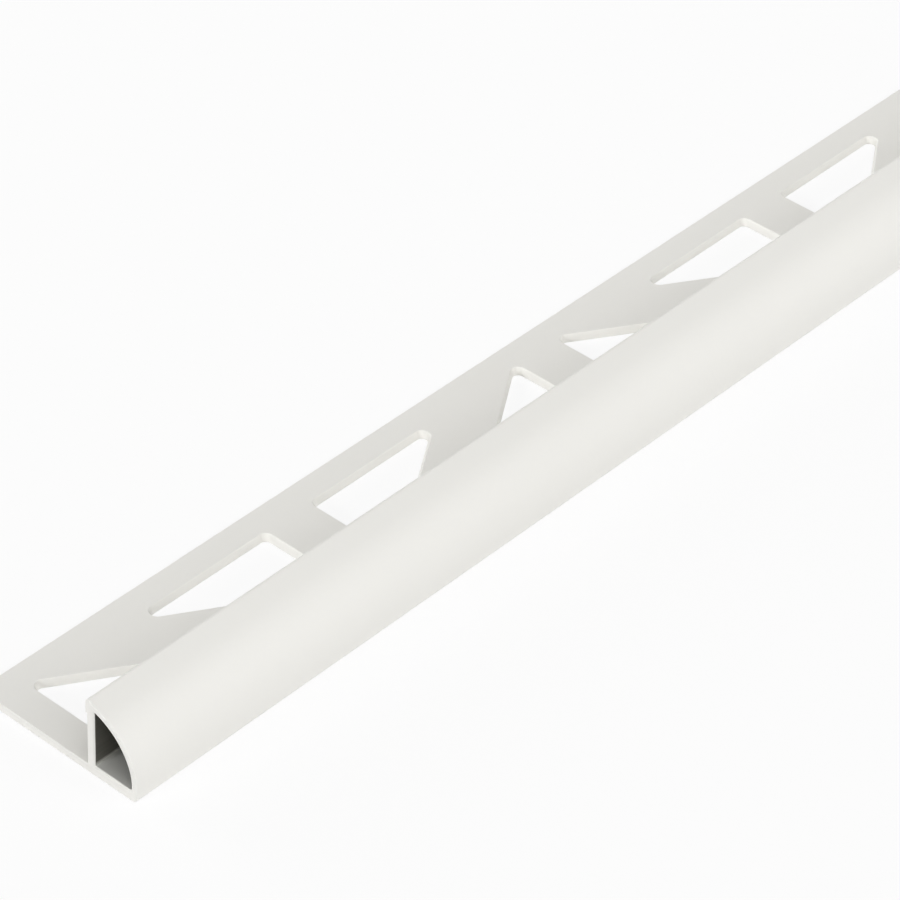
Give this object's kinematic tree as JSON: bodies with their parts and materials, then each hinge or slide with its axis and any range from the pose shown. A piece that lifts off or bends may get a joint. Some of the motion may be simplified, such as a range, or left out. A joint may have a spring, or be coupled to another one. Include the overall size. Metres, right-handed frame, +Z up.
{
  "type": "tile edge trim",
  "caption": "Straight tile edge trim: hollow quarter-round front with a nib above its stop face, and a flat anchoring leg punched with triangles and trapeziums.",
  "frame": {"origin": "middle of the bar's length, on the underside, below the stop face that the tile meets", "axes": "+X along the bar, +Y from the stop face along the leg to its outer edge, +Z up from the underside to the nib"},
  "size_m": [1, 0.0237, 0.01],
  "materials": {
    "white_coat": "satin"
  },
  "bodies": {
    "root": {"edge_trim": "white_coat"}
  },
  "joints": []
}
